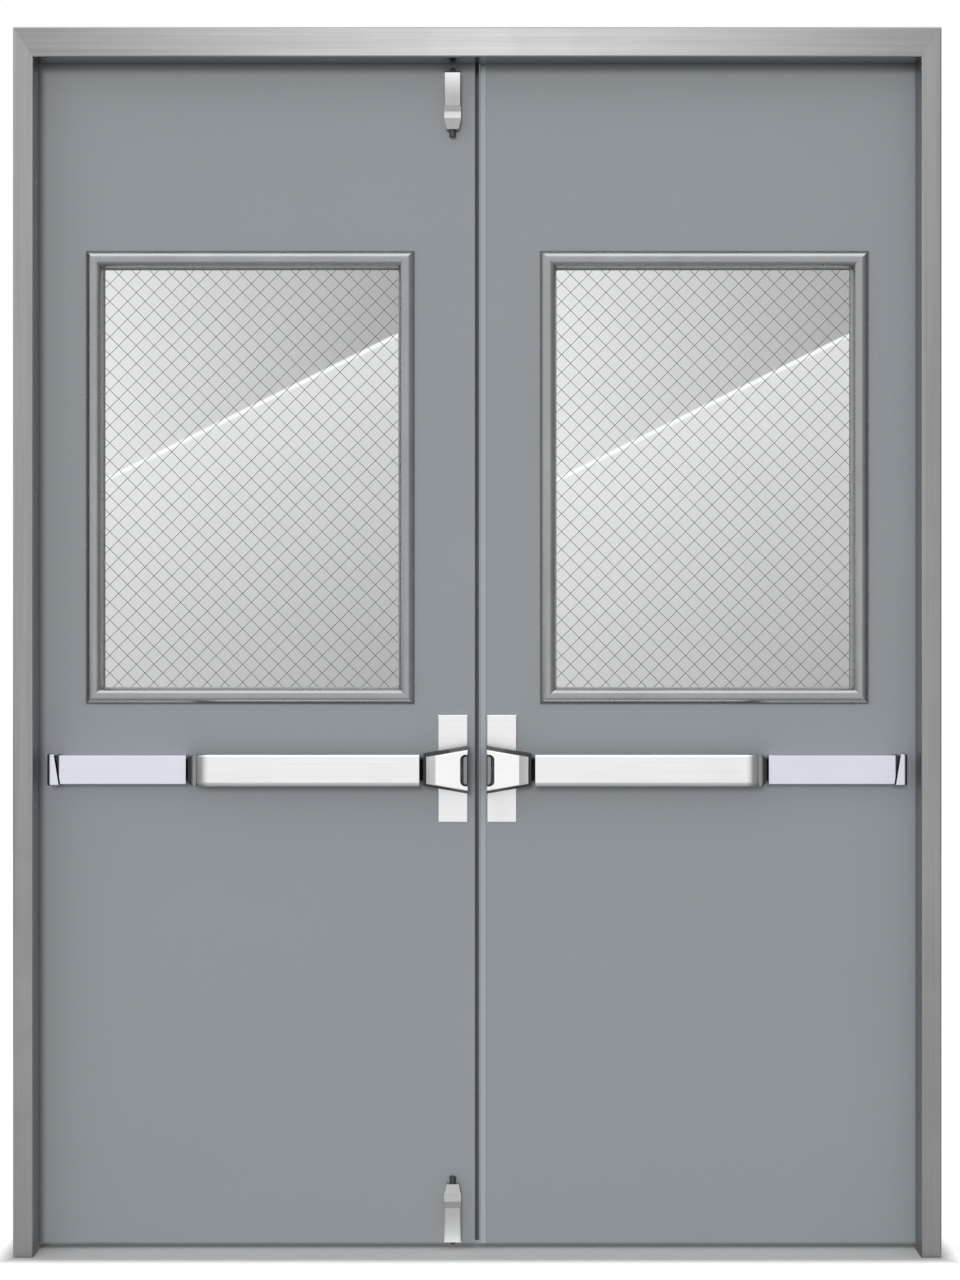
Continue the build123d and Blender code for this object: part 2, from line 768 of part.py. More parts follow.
with BuildPart() as top_bolt:
    with BuildSketch(
        Plane((left_x(bolt_reach), depth_y(bolt_axis_depth), bolt_case_top - bolt_case_tall - bolt_tail_out))
    ):
        Circle(bolt_radius)
    extrude(amount=bolt_case_tall + bolt_tip_out + bolt_tail_out)
    tip_edge = top_bolt.edges().filter_by(GeomType.CIRCLE).sort_by(Axis.Z)[-1]
    chamfer(tip_edge, length=bolt_tip_bevel)

with BuildPart() as bottom_latch_case:
    mirror(top_latch_case.part, about=bolt_middle_plane)

with BuildPart() as bottom_bolt:
    mirror(top_bolt.part, about=bolt_middle_plane)

save(top_latch_case.part, "top_latch_case")
save(top_bolt.part, "top_bolt")
save(bottom_latch_case.part, "bottom_latch_case")
save(bottom_bolt.part, "bottom_bolt")
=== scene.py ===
import json
import math
import bpy
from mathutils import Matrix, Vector


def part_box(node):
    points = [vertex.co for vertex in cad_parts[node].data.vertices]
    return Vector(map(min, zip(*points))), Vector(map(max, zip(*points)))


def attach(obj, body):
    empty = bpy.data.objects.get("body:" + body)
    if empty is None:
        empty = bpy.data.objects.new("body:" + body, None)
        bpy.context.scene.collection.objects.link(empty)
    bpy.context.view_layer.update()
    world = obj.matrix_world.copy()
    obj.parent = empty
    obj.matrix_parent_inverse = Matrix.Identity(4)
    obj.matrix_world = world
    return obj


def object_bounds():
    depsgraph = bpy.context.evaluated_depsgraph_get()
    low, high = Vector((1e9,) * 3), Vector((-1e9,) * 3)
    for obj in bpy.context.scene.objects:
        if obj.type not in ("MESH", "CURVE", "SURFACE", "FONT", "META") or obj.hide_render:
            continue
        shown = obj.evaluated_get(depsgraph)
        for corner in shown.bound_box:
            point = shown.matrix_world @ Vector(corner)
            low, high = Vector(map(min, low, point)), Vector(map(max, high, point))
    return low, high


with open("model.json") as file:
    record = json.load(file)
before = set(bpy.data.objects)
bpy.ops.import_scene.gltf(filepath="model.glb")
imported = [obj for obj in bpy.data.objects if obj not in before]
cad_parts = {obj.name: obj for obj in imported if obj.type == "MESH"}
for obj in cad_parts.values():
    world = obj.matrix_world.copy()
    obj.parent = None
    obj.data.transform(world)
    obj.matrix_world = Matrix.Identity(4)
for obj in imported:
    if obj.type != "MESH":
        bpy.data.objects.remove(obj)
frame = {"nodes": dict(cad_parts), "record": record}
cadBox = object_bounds()
nodes = frame["nodes"]
slotOf = {row["node"]: row["material_slot"] for row in frame["record"]["subparts"]}
print("frame loaded:", len(nodes), "nodes")


# colours are written as they look on screen, 0 to 255

def srgb(red, green, blue):
    def linear(level):
        share = level / 255
        return share / 12.92 if share <= 0.04045 else ((share + 0.055) / 1.055) ** 2.4
    return (linear(red), linear(green), linear(blue), 1.0)


# small helpers for node trees

def addNode(tree, kind, **settings):
    node = tree.nodes.new(kind)
    for key, value in settings.items():
        setattr(node, key, value)
    return node


def setInput(node, name, value):
    node.inputs[name].default_value = value


def newGroup(name, inputs, outputs):
    group = bpy.data.node_groups.new(name, "ShaderNodeTree")
    for socketName, kind in inputs:
        group.interface.new_socket(socketName, in_out="INPUT", socket_type=kind)
    for socketName, kind in outputs:
        group.interface.new_socket(socketName, in_out="OUTPUT", socket_type=kind)
    return group, addNode(group, "NodeGroupInput"), addNode(group, "NodeGroupOutput")


def newMaterial(name):
    material = bpy.data.materials.new(name)
    material.use_nodes = True
    return material, material.node_tree, material.node_tree.nodes["Principled BSDF"]


def feed(tree, value, socket):
    # a socket is linked, anything else is set
    if isinstance(value, bpy.types.NodeSocket):
        tree.links.new(value, socket)
    else:
        socket.default_value = value


def mappedCoords(tree, scale=(1, 1, 1), shift=(0, 0, 0)):
    coords = addNode(tree, "ShaderNodeTexCoord")
    mapping = addNode(tree, "ShaderNodeMapping")
    setInput(mapping, "Location", shift)
    setInput(mapping, "Scale", scale)
    tree.links.new(coords.outputs["Object"], mapping.inputs["Vector"])
    return mapping.outputs["Vector"]


def splitCoords(tree, shift=(0, 0, 0)):
    split = addNode(tree, "ShaderNodeSeparateXYZ")
    tree.links.new(mappedCoords(tree, shift=shift), split.inputs["Vector"])
    return split.outputs


def placeGroup(tree, group, vector, **values):
    node = addNode(tree, "ShaderNodeGroup", node_tree=group)
    tree.links.new(vector, node.inputs["Vector"])
    for key, value in values.items():
        setInput(node, key, value)
    return node


def mapRange(tree, source, low, high, start=0.0, end=1.0):
    node = addNode(tree, "ShaderNodeMapRange")
    for key, value in (("From Min", start), ("From Max", end), ("To Min", low), ("To Max", high)):
        setInput(node, key, value)
    tree.links.new(source, node.inputs["Value"])
    return node.outputs["Result"]


def maths(tree, operation, *values, **settings):
    node = addNode(tree, "ShaderNodeMath", operation=operation, **settings)
    for value, socket in zip(values, node.inputs):
        feed(tree, value, socket)
    return node.outputs[0]


def largestOf(tree, sources):
    found = sources[0]
    for source in sources[1:]:
        found = maths(tree, "MAXIMUM", found, source)
    return found


def blend(tree, kind, factor, first, second):
    node = addNode(tree, "ShaderNodeMix", data_type=kind)
    for key, value in (("Factor", factor), ("A", first), ("B", second)):
        feed(tree, value, node.inputs[key])
    return node.outputs["Result"]


def chooseShader(tree, factor, first, second):
    node = addNode(tree, "ShaderNodeMixShader")
    for source, socket in zip((factor, first, second), node.inputs):
        tree.links.new(source, socket)
    return node.outputs["Shader"]


def addNoise(tree, vector, **values):
    node = addNode(tree, "ShaderNodeTexNoise")
    tree.links.new(vector, node.inputs["Vector"])
    for key, value in values.items():
        feed(tree, value, node.inputs[key])
    return node.outputs["Fac"]


def addBump(tree, height, shader, strength, distance):
    bump = addNode(tree, "ShaderNodeBump")
    setInput(bump, "Strength", strength)
    setInput(bump, "Distance", distance)
    tree.links.new(height, bump.inputs["Height"])
    tree.links.new(bump.outputs["Normal"], shader.inputs["Normal"])


# shared effects

def makeBrushGrain():
    group, given, out = newGroup(
        "brushGrain",
        [("Vector", "NodeSocketVector"), ("Coarse", "NodeSocketFloat")],
        [("Streak", "NodeSocketFloat"), ("Height", "NodeSocketFloat")],
    )
    vector = given.outputs["Vector"]
    fine = addNoise(group, vector, Scale=1.0, Detail=3.0, Roughness=0.7)
    broad = addNoise(group, vector, Scale=given.outputs["Coarse"], Detail=2.0)
    broadShare = 0.45
    streak = blend(group, "FLOAT", broadShare, fine, broad)
    group.links.new(mapRange(group, streak, 0.0, 1.0, start=0.3, end=0.7), out.inputs["Streak"])
    group.links.new(fine, out.inputs["Height"])
    return group


def makeHandMarks():
    group, given, out = newGroup(
        "handMarks",
        [("Vector", "NodeSocketVector"), ("Size", "NodeSocketFloat"), ("Amount", "NodeSocketFloat")],
        [("Smudge", "NodeSocketFloat")],
    )
    size = given.outputs["Size"]
    noise = addNoise(group, given.outputs["Vector"], Scale=size, Detail=5.0, Distortion=0.6)
    level = mapRange(group, noise, 0.0, 1.0, start=0.45, end=0.75)
    group.links.new(maths(group, "MULTIPLY", level, given.outputs["Amount"]), out.inputs["Smudge"])
    return group


def makePaintFilm():
    group, given, out = newGroup(
        "paintFilm",
        [("Vector", "NodeSocketVector"), ("Peel", "NodeSocketFloat")],
        [("Tone", "NodeSocketFloat"), ("Height", "NodeSocketFloat")],
    )
    vector = given.outputs["Vector"]
    peel = addNoise(group, vector, Scale=given.outputs["Peel"], Detail=1.0)
    tone = addNoise(group, vector, Scale=2.2, Detail=4.0)
    group.links.new(tone, out.inputs["Tone"])
    group.links.new(peel, out.inputs["Height"])
    return group


brushGrain = makeBrushGrain()
handMarks = makeHandMarks()
paintFilm = makePaintFilm()


# finishes

def brushedSteel(name, dark, light, grain, rough, bump=0.04, marks=0.12):
    material, tree, shader = newMaterial(name)
    grained = placeGroup(tree, brushGrain, mappedCoords(tree, grain), Coarse=0.35)
    smudged = placeGroup(tree, handMarks, mappedCoords(tree), Size=9.0, Amount=marks)
    streak = grained.outputs["Streak"]
    roughness = maths(
        tree, "ADD", mapRange(tree, streak, *rough), smudged.outputs["Smudge"], use_clamp=True
    )
    tree.links.new(roughness, shader.inputs["Roughness"])
    tree.links.new(blend(tree, "RGBA", streak, dark, light), shader.inputs["Base Color"])
    setInput(shader, "Metallic", 1.0)
    addBump(tree, grained.outputs["Height"], shader, strength=bump, distance=0.0005)
    return material


def satinPaint(name, dark, light, rough, peel=420.0, bump=0.05):
    material, tree, shader = newMaterial(name)
    film = placeGroup(tree, paintFilm, mappedCoords(tree), Peel=peel)
    tone = film.outputs["Tone"]
    tree.links.new(blend(tree, "RGBA", tone, dark, light), shader.inputs["Base Color"])
    tree.links.new(mapRange(tree, tone, *rough), shader.inputs["Roughness"])
    setInput(shader, "Specular IOR Level", 0.3)
    addBump(tree, film.outputs["Height"], shader, strength=bump, distance=0.0004)
    return material


def wiredGlass():
    material, tree, shader = newMaterial("wiredGlass")
    waves = addNoise(tree, mappedCoords(tree), Scale=14.0)
    tint = blend(tree, "RGBA", waves, srgb(203, 205, 204), srgb(207, 208, 208))
    tree.links.new(tint, shader.inputs["Base Color"])
    setInput(shader, "Roughness", 0.0)
    setInput(shader, "IOR", 1.5)
    setInput(shader, "Transmission Weight", 1.0)
    addBump(tree, waves, shader, strength=0.004, distance=0.001)
    return material


def fadeTo(material, colour, axis, middle, start, end, power=1.0):
    # the base colour turns to another between two distances from a middle plane
    tree = material.node_tree
    base = tree.nodes["Principled BSDF"].inputs["Base Color"]
    away = maths(tree, "ABSOLUTE", splitCoords(tree, (-middle, -middle, -middle))[axis])
    share = maths(tree, "POWER", mapRange(tree, away, 0.0, 1.0, start, end), power)
    tree.links.new(blend(tree, "RGBA", share, base.links[0].from_socket, colour), base)


finishes = {
    "jambSteel": brushedSteel(
        "jambSteel", srgb(147, 147, 147), srgb(166, 166, 166), (240, 240, 3), (0.30, 0.42)
    ),
    "headSteel": brushedSteel(
        "headSteel", srgb(130, 130, 130), srgb(150, 150, 150), (3, 240, 240), (0.15, 0.21), marks=0.05
    ),
    "frame_steel": brushedSteel(
        "plateSteel", srgb(130, 130, 130), srgb(150, 150, 150), (200, 200, 200), (0.4, 0.5)
    ),
    "hinge_steel": brushedSteel(
        "hingeSteel", srgb(150, 150, 150), srgb(172, 172, 172), (300, 300, 20), (0.25, 0.35)
    ),
    "glazing_steel": brushedSteel(
        "glazingSteel", srgb(152, 153, 155), srgb(164, 165, 166), (18, 18, 18), (0.24, 0.30),
        bump=0.0, marks=0.04,
    ),
    "bar_cover_steel": brushedSteel(
        "coverSteel", srgb(221, 221, 234), srgb(231, 231, 243), (5, 320, 320), (0.30, 0.40)
    ),
    "bar_steel": brushedSteel(
        "barSteel", srgb(235, 235, 237), srgb(246, 246, 247), (5, 320, 320), (0.28, 0.38)
    ),
    "endCapSteel": brushedSteel(
        "endCapSteel", srgb(221, 221, 232), srgb(231, 231, 241), (320, 320, 5), (0.28, 0.36)
    ),
    "boltCaseSteel": brushedSteel(
        "boltCaseSteel", srgb(172, 172, 173), srgb(184, 184, 185), (320, 320, 5), (0.26, 0.34)
    ),
    # a copy of the bolt-case steel for the bottom case, which gets painted highlight and shade bands below
    "bottomCaseSteel": brushedSteel(
        "bottomCaseSteel", srgb(178, 178, 179), srgb(190, 190, 191), (320, 320, 5), (0.26, 0.34)
    ),
    "caseSteel": brushedSteel(
        "caseSteel", srgb(246, 246, 246), srgb(253, 253, 253), (5, 320, 320), (0.28, 0.38)
    ),
    # painted shade: the latch bolt is dark for the shade on its neck; its front turns lighter below
    "latchNose": brushedSteel(
        "latchNose", srgb(88, 89, 90), srgb(98, 99, 100), (200, 200, 60), (0.3, 0.42)
    ),
    "latch_steel": brushedSteel(
        "latchSteel", srgb(72, 73, 75), srgb(94, 95, 97), (200, 200, 60), (0.3, 0.42)
    ),
    "leaf_paint": satinPaint(
        "leafPaint", srgb(142, 147, 151), srgb(146, 151, 155), (0.42, 0.50)
    ),
    # painted highlight: the meeting strip is lighter than the leaf, as a lit edge
    "stripPaint": satinPaint(
        "stripPaint", srgb(158, 163, 168), srgb(164, 169, 174), (0.38, 0.46)
    ),
    "rail_black": satinPaint("railBlack", srgb(38, 39, 40), srgb(48, 49, 50), (0.45, 0.6), peel=900.0),
    "body_black": satinPaint("bodyBlack", srgb(52, 52, 53), srgb(62, 62, 63), (0.38, 0.5), peel=900.0),
    # painted shade: the pad ends are mid grey for the shade on a turned-in end
    "padEndPaint": satinPaint(
        "padEndPaint", srgb(132, 133, 134), srgb(142, 143, 144), (0.4, 0.5), peel=900.0
    ),
    # painted shade: the latch body's grey sets the tone of the shaded notch round the bolt
    "latchBodyPaint": satinPaint(
        "latchBodyPaint", srgb(78, 79, 80), srgb(86, 87, 88), (0.38, 0.5), peel=900.0
    ),
    "smoke_seal": satinPaint("smokeSeal", srgb(34, 34, 35), srgb(44, 44, 45), (0.8, 0.95), peel=1200.0),
    # painted light: the glazing tape is pale so the shaded recess by the glass doesn't render black
    "gasket": satinPaint("gasketTape", srgb(176, 177, 178), srgb(190, 191, 192), (0.7, 0.85), peel=1200.0),
    "mineral_core": satinPaint(
        "mineralBoard", srgb(196, 190, 178), srgb(212, 206, 196), (0.9, 1.0), peel=300.0, bump=0.3
    ),
    "wired_glass": wiredGlass(),
}

# where painted shade and painted highlights change along a piece, as distances from the door's middle or
# midway between the bolts
doorMiddle = (cadBox[0].x + cadBox[1].x) / 2
boltMiddle = (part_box("bottom_latch_case")[0].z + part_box("top_latch_case")[1].z) / 2
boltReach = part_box("top_latch_case")[1].z - boltMiddle
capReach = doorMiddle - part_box("left_bar_end_cap")[0].x
noseFront = -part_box("left_latch_bolt")[0].y
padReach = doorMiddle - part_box("left_push_pad")[0].x
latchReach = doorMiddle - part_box("left_latch_bolt")[0].x

# painted highlight and shade on the bottom case: a bright flare (painted highlight), a dark groove
# (painted shade) and a lighter body; tone, and how far in from its end
bottomPaintedBands = {"flare": (255, 0.082), "groove": (140, 0.07), "body": (196, 0.06)}
bandEdge = 0.0005
for tone, inward in bottomPaintedBands.values():
    fadeTo(
        finishes["bottomCaseSteel"], srgb(tone, tone, tone), "Z", boltMiddle,
        boltReach - inward - bandEdge, boltReach - inward + bandEdge,
    )

# painted highlight: the cases of the top and bottom bolts turn near white towards their ends
endHighlight = {"colour": srgb(252, 253, 254), "start": 0.06, "end": 0.005, "power": 2.2}
for name in ("boltCaseSteel", "bottomCaseSteel"):
    fadeTo(
        finishes[name], endHighlight["colour"], "Z", boltMiddle,
        boltReach - endHighlight["start"], boltReach - endHighlight["end"], endHighlight["power"],
    )

# painted shade on pieces: colour it turns to, axis, middle, reach, and where past that reach the change
# starts and ends
paintedShades = {
    "bar_steel": ((190, 190, 192), "X", doorMiddle, padReach, -0.022, -0.011),  # painted shade: pads darken outwards, towards their rounded ends
    # painted shadow: the pad ends turn near black at their outer edge, in the gap to the rail cover
    "padEndPaint": ((42, 43, 44), "X", doorMiddle, padReach, 0.004, 0.008),
    "latchBodyPaint": ((56, 56, 57), "X", doorMiddle, latchReach, 0.0, 0.006),  # painted shade: grey round the bolt for the shaded gap in the notch, darker farther out
    "bar_cover_steel": ((62, 62, 66), "X", doorMiddle, capReach, -0.0215, -0.0205),  # painted shadow: a dark strip at the cover's end, in the joint to the end cap
    "endCapSteel": ((84, 84, 90), "X", doorMiddle, capReach, -0.0065, -0.0035),  # painted shade: dark outer edge of the rounded cap
    "latchNose": ((142, 146, 149), "Y", 0, noseFront, -0.004, -0.002),  # painted shade: darker behind the nose, lighter on its front
}
for name, (colour, axis, middle, reach, start, end) in paintedShades.items():
    fadeTo(finishes[name], srgb(*colour), axis, middle, reach + start, reach + end)

# nodes whose finish isn't their slot's
ownFinish = {
    "head": "headSteel",
    "left_jamb": "jambSteel",
    "right_jamb": "jambSteel",
    "right_meeting_strip": "stripPaint",
    "left_bar_end_cap": "endCapSteel",
    "right_bar_end_cap": "endCapSteel",
    "left_latch_cover": "caseSteel",
    "right_latch_cover": "caseSteel",
    "left_latch_bolt": "latchNose",
    "right_latch_bolt": "latchNose",
    "top_latch_case": "boltCaseSteel",
    "bottom_latch_case": "bottomCaseSteel",
    "left_push_pad_end": "padEndPaint",
    "right_push_pad_end": "padEndPaint",
    "left_latch_body": "latchBodyPaint",
    "right_latch_body": "latchBodyPaint",
}
for name, node in nodes.items():
    node.data.materials.clear()
    node.data.materials.append(finishes[ownFinish.get(name, slotOf[name])])
print("finishes on all nodes")


# modelling helpers

def deselectAll():
    if bpy.context.mode != "OBJECT":
        bpy.ops.object.mode_set(mode="OBJECT")
    bpy.ops.object.select_all(action="DESELECT")


def makeActive(piece):
    deselectAll()
    piece.select_set(True)
    bpy.context.view_layer.objects.active = piece


def pickFaces(piece, rule):
    bpy.ops.object.mode_set(mode="EDIT")
    bpy.ops.mesh.select_mode(type="FACE")
    bpy.ops.mesh.select_all(action="DESELECT")
    bpy.ops.object.mode_set(mode="OBJECT")
    for face in piece.data.polygons:
        face.select = rule(face)
    bpy.ops.object.mode_set(mode="EDIT")


def facesRight(face):
    return face.normal.x > 0.9


def placeInMesh(piece):
    bpy.ops.object.mode_set(mode="OBJECT")
    makeActive(piece)
    bpy.ops.object.transform_apply(location=True, rotation=True, scale=True)


def useModifier(piece, kind, **settings):
    makeActive(piece)
    modifier = piece.modifiers.new(kind.lower(), kind)
    for key, value in settings.items():
        setattr(modifier, key, value)
    bpy.ops.object.modifier_apply(modifier=modifier.name)


def addCube(name, centre, size):
    deselectAll()
    bpy.ops.mesh.primitive_cube_add(size=1, location=centre)
    piece = bpy.context.object
    piece.name = name
    piece.scale = size
    placeInMesh(piece)
    return piece


def joinPieces(pieces, name):
    deselectAll()
    for piece in pieces:
        piece.select_set(True)
    bpy.context.view_layer.objects.active = pieces[0]
    bpy.ops.object.join()
    pieces[0].name = name
    return pieces[0]


def dress(piece, body, finish):
    piece.data.materials.clear()
    piece.data.materials.append(finish)
    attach(piece, body)


# wires cast into each pane
wireMesh = {"radius": 0.00052, "pitch": 0.022, "sides": 6, "edge": 0.001, "lift": 0.0005, "smooth": 50}
wireSteel = brushedSteel("wireSteel", srgb(178, 180, 181), srgb(198, 200, 201), (50, 50, 50), (0.3, 0.4))


def trimToPane(piece, low, high):
    bpy.ops.object.mode_set(mode="EDIT")
    for corner, axis in ((low, -1), (high, 1)):
        for direction in (Vector((axis, 0, 0)), Vector((0, 0, axis))):
            bpy.ops.mesh.select_all(action="SELECT")
            bpy.ops.mesh.bisect(plane_co=corner, plane_no=direction, clear_outer=True, use_fill=True)
    bpy.ops.object.mode_set(mode="OBJECT")


def slantedWires(low, high, lean):
    centre = (low + high) / 2
    reach = (high - low).length
    step = wireMesh["pitch"] * math.sqrt(2)
    count = int((high.x - low.x + high.z - low.z) / step) + 2
    start = centre + Vector((-step * (count - 1) / 2, lean * wireMesh["lift"], 0))
    deselectAll()
    bpy.ops.mesh.primitive_cylinder_add(
        vertices=wireMesh["sides"], radius=wireMesh["radius"], depth=2 * reach, location=start,
        rotation=(0, lean * math.pi / 4, 0),
    )
    wire = bpy.context.object
    placeInMesh(wire)
    useModifier(
        wire, "ARRAY", count=count, use_relative_offset=False, use_constant_offset=True,
        constant_offset_displace=(step, 0, 0),
    )
    trimToPane(wire, low, high)
    return wire


for side in ("left", "right"):
    low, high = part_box(f"{side}_glass")
    inset = Vector((wireMesh["edge"], 0, wireMesh["edge"]))
    wires = [slantedWires(low + inset, high - inset, lean) for lean in (-1, 1)]
    mesh = joinPieces(wires, f"{side}GlassWires")
    makeActive(mesh)
    bpy.ops.object.shade_smooth_by_angle(angle=math.radians(wireMesh["smooth"]))
    dress(mesh, f"{side}_leaf", wireSteel)
print("glass wires in")


# brush seal in the meeting edge of the left leaf
brushSeal = {
    "depth": 0.005, "height": 0.008, "carrier": 0.0012, "tuft": 0.0032, "pitch": 0.003, "clear": 0.0002,
    "skin": 0.001, "rim": 0.0012, "rise": 0.0006, "bevel": 0.0007,
}
# painted light: the seal pile is mid grey so it doesn't render black in the shaded gap between the leaves
sealPile = satinPaint(
    "sealPile", srgb(104, 110, 112), srgb(118, 124, 126), (0.9, 1.0), peel=1500.0, bump=0.2
)


def makeBrushSeal():
    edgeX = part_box("left_leaf_core")[1].x + brushSeal["skin"]
    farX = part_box("right_leaf_core")[0].x - brushSeal["skin"]
    low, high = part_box("left_leaf_edge_strip")
    middleY = (low.y + high.y) / 2
    tall = high.z - low.z
    carrier = addCube(
        "meetingBrushSeal", (edgeX + brushSeal["carrier"] / 2, middleY, (low.z + high.z) / 2),
        (brushSeal["carrier"], brushSeal["height"], tall),
    )
    pickFaces(carrier, facesRight)
    bpy.ops.mesh.inset(thickness=brushSeal["rim"])
    bpy.ops.mesh.extrude_region_move(TRANSFORM_OT_translate={"value": (brushSeal["rise"], 0, 0)})
    bpy.ops.object.mode_set(mode="OBJECT")
    rootX = edgeX + brushSeal["carrier"]
    tipX = farX - brushSeal["clear"]
    tuft = addCube(
        "tuft", ((rootX + tipX) / 2, middleY, low.z + brushSeal["pitch"] / 2),
        (tipX - rootX, brushSeal["depth"], brushSeal["tuft"]),
    )
    pickFaces(tuft, facesRight)
    bpy.ops.mesh.bevel(offset=brushSeal["bevel"], segments=2, affect="EDGES")
    bpy.ops.object.mode_set(mode="OBJECT")
    useModifier(
        tuft, "ARRAY", count=int(tall / brushSeal["pitch"]), use_relative_offset=False,
        use_constant_offset=True, constant_offset_displace=(0, 0, brushSeal["pitch"]),
    )
    return joinPieces([carrier, tuft], "meetingBrushSeal")


dress(makeBrushSeal(), "left_leaf", sealPile)
print("brush seal in")


# countersunk screws in the hinge plates
hingeScrew = {
    "radius": 0.0045, "deep": 0.0016, "proud": 0.00015, "bevel": 0.0004,
    "slotWide": 0.0011, "slotLong": 0.0046, "slotDeep": 0.0009, "sides": 20, "smooth": 35,
}
hingePlate = {
    "tall": 0.1, "thick": 0.002, "gap": 0.001,
    "rows": (0.013, 0.024), "heights": (-0.036, -0.013, 0.013, 0.036),
}
screwSteel = brushedSteel(
    "screwSteel", srgb(150, 150, 152), srgb(176, 176, 178), (120, 120, 120), (0.22, 0.32)
)


def makeScrew():
    deselectAll()
    bpy.ops.mesh.primitive_cylinder_add(
        vertices=hingeScrew["sides"], radius=hingeScrew["radius"], depth=hingeScrew["deep"],
        location=(hingeScrew["proud"] - hingeScrew["deep"] / 2, 0, 0), rotation=(0, math.pi / 2, 0),
    )
    screw = bpy.context.object
    screw.name = "hingeScrew"
    placeInMesh(screw)
    pickFaces(screw, facesRight)
    bpy.ops.mesh.bevel(offset=hingeScrew["bevel"], segments=2, affect="EDGES")
    bpy.ops.object.mode_set(mode="OBJECT")
    slotSides = (hingeScrew["slotWide"], hingeScrew["slotLong"])
    for across, along in (slotSides, slotSides[::-1]):  # a cross
        cutter = addCube(
            "slotCutter", (hingeScrew["proud"], 0, 0), (2 * hingeScrew["slotDeep"], across, along)
        )
        useModifier(screw, "BOOLEAN", object=cutter, operation="DIFFERENCE", solver="EXACT")
        bpy.data.objects.remove(cutter)
    makeActive(screw)
    bpy.ops.object.shade_smooth_by_angle(angle=math.radians(hingeScrew["smooth"]))
    return screw


def copyScrews(screw, places, name):
    copies = []
    for place, turn in places:
        one = screw.copy()
        one.data = screw.data.copy()
        bpy.context.scene.collection.objects.link(one)
        one.location = place
        one.rotation_euler = (0, 0, turn)
        copies.append(one)
    rows = joinPieces(copies, name)
    placeInMesh(rows)
    return rows


def addHingeScrews():
    screw = makeScrew()
    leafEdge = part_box("left_leaf_front_skin")[0].x
    doorWidth = cadBox[0].x + cadBox[1].x
    low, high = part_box("left_hinge_leaf_plates")
    middle = (low.z + high.z) / 2
    plates = (low.z + hingePlate["tall"] / 2, middle, high.z - hingePlate["tall"] / 2)
    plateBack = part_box("left_leaf_back_skin")[1].y
    leafFace = leafEdge - hingePlate["thick"]
    frameFace = leafFace - hingePlate["gap"]
    rows = {"frame": [], "left_leaf": [], "right_leaf": []}
    for plate in plates:
        for i, rise in enumerate(hingePlate["heights"]):
            spot = (plateBack - hingePlate["rows"][i % 2], plate + rise)
            rows["left_leaf"].append((Vector((leafFace, *spot)), math.pi))
            rows["right_leaf"].append((Vector((doorWidth - leafFace, *spot)), 0))
            rows["frame"].append((Vector((frameFace, *spot)), 0))
            rows["frame"].append((Vector((doorWidth - frameFace, *spot)), math.pi))
    for body, places in rows.items():
        dress(copyScrews(screw, places, f"{body}HingeScrews"), body, screwSteel)
    bpy.data.objects.remove(screw)


addHingeScrews()
print("hinge screws in")


# stage: pale floor, cards that only the steel mirrors, and a backdrop that only the panes show

def emissionMaterial(name):
    material = bpy.data.materials.new(name)
    material.use_nodes = True
    tree = material.node_tree
    tree.nodes.clear()
    glow = addNode(tree, "ShaderNodeEmission")
    output = addNode(tree, "ShaderNodeOutputMaterial")
    tree.links.new(glow.outputs["Emission"], output.inputs["Surface"])
    material.cycles.emission_sampling = "NONE"
    return material, tree, glow


def letThrough(tree, glow):
    clear = addNode(tree, "ShaderNodeBsdfTransparent")
    both = addNode(tree, "ShaderNodeAddShader")
    tree.links.new(glow.outputs["Emission"], both.inputs[0])
    tree.links.new(clear.outputs["BSDF"], both.inputs[1])
    tree.links.new(both.outputs["Shader"], tree.nodes["Material Output"].inputs["Surface"])


def stagePlane(name, centre, size, turn=(0, 0, 0)):
    deselectAll()
    bpy.ops.mesh.primitive_plane_add(size=1, location=centre, rotation=turn)
    plane = bpy.context.object
    plane.name = name
    plane.scale = (size[0], size[1], 1)
    return plane


def showOnlyTo(card, ray):
    for other in ("camera", "diffuse", "glossy", "transmission", "volume_scatter", "shadow"):
        setattr(card, f"visible_{other}", other == ray)


doorLow, doorHigh = cadBox
doorCentre = (doorLow + doorHigh) / 2
floorSet = {"size": 16.0, "white": 0.8, "glow": 0.6, "front": doorLow.y - 0.005, "soft": 0.03}


def makeFloor():
    floor = stagePlane("floor", (doorCentre.x, 0, 0), (floorSet["size"], floorSet["size"]))
    placeInMesh(floor)
    floor.visible_glossy = False
    material, tree, shader = newMaterial("floorPaint")
    setInput(shader, "Base Color", (floorSet["white"],) * 3 + (1,))
    setInput(shader, "Roughness", 0.9)
    setInput(shader, "Specular IOR Level", 0.0)
    # white to the camera outside the doorway, where only the shadow shows
    sides = (
        ("Y", floorSet["front"] - floorSet["soft"], floorSet["front"], 1, 0),
        ("Y", doorHigh.y, doorHigh.y + floorSet["soft"], 0, 1),
        ("X", doorLow.x - floorSet["soft"], doorLow.x, 1, 0),
        ("X", doorHigh.x, doorHigh.x + floorSet["soft"], 0, 1),
    )
    place = splitCoords(tree)
    outside = largestOf(tree, [
        mapRange(tree, place[axis], first, last, near, far) for axis, near, far, first, last in sides
    ])
    path = addNode(tree, "ShaderNodeLightPath")
    eyes = largestOf(tree, [path.outputs["Is Camera Ray"], path.outputs["Is Transmission Ray"]])
    amount = maths(tree, "MULTIPLY", maths(tree, "MULTIPLY", eyes, outside), floorSet["glow"])
    setInput(shader, "Emission Color", (1, 1, 1, 1))
    tree.links.new(amount, shader.inputs["Emission Strength"])
    floor.data.materials.append(material)


makeFloor()


